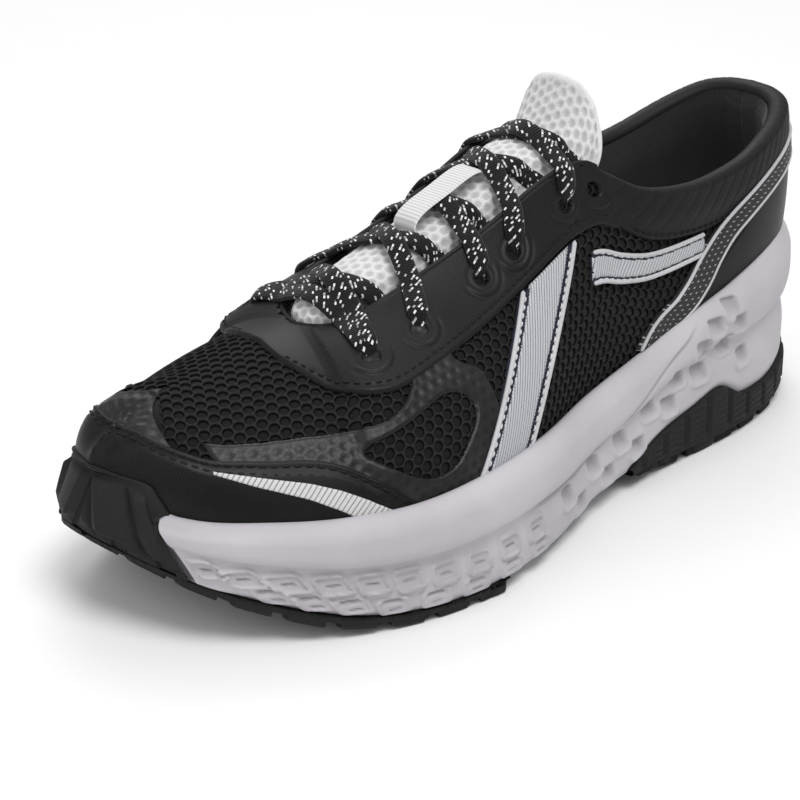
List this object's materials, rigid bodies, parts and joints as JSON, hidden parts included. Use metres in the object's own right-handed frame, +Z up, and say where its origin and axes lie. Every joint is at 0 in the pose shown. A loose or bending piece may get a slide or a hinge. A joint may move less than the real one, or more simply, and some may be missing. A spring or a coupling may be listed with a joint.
{
  "type": "trail running shoe",
  "caption": "Left trail running shoe: hollow low upper with laced throat and padded tongue, thick foam midsole with stepped sides, and lugged rubber outsole with toe bumper.",
  "frame": {"origin": "on the floor, under the middle of the shoe's length and width", "axes": "+Z up, the toe points to -X, the outer (lateral) side of this left shoe faces -Y"},
  "size_m": [0.298, 0.1192, 0.1299],
  "materials": {
    "foam": "matte moulded foam, pale lavender grey",
    "outsole_rubber": "matte moulded rubber, black",
    "lining": "soft knit, black",
    "mesh": "open engineered mesh, black",
    "panel": "satin welded synthetic, near black",
    "band": "printed fine hatching, light grey",
    "tongue": "padded mesh, white",
    "lace": "flat braid, black with white flecks"
  },
  "bodies": {
    "root": {"midsole": "foam", "outsole_forefoot": "outsole_rubber", "outsole_heel": "outsole_rubber", "insole": "lining", "upper": "mesh", "toe_cap": "panel", "eyestay": "panel", "heel_counter": "panel", "saddle_lateral": "band", "saddle_medial": "band", "quarter_band_lateral": "band", "quarter_band_medial": "band", "collar_lining": "lining", "tongue": "tongue", "lace": "lace"}
  },
  "joints": []
}
